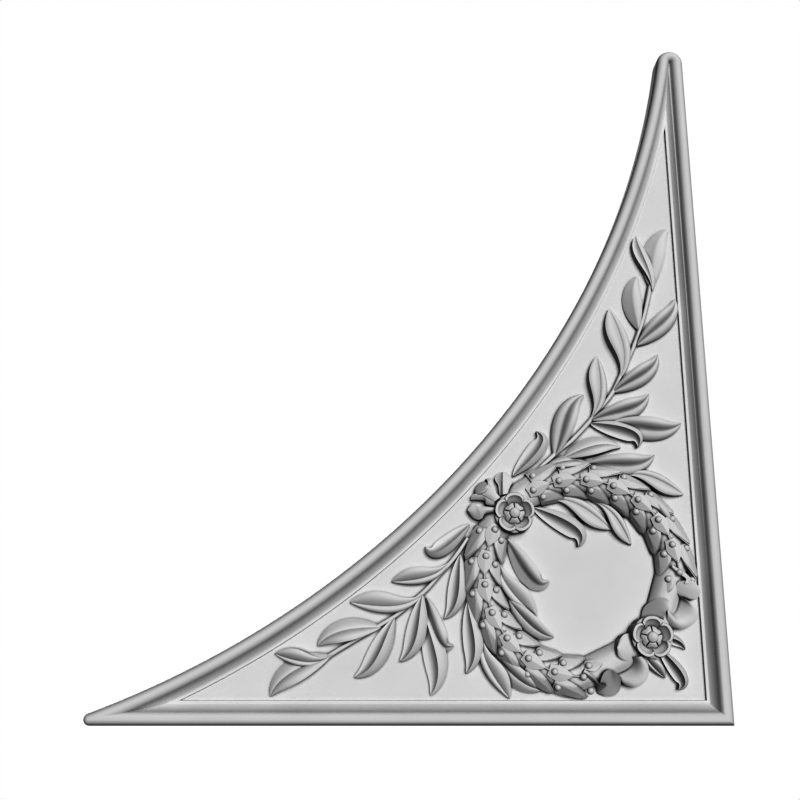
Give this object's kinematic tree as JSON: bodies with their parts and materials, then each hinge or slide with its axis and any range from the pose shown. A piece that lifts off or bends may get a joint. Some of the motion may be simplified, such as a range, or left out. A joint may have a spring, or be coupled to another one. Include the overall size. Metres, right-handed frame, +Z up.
{
  "type": "carved wood corner applique",
  "caption": "Carved wood corner applique with one concave side: a moulded frame round a relief of laurel sprays, a berried wreath, rosettes and ribbons.",
  "frame": {"origin": "on the flat back, behind the middle of the wreath", "axes": "+Z up the straight upright side, +X along the straight bottom side towards the square corner, +Y into the wall, so the carving faces -Y"},
  "size_m": [0.36, 0.0203, 0.421],
  "materials": {
    "frame": "satin grey paint on moulded wood",
    "carved_panel": "satin grey paint on carved wood"
  },
  "bodies": {
    "root": {"frame": "frame", "carved_panel": "carved_panel"}
  },
  "joints": []
}
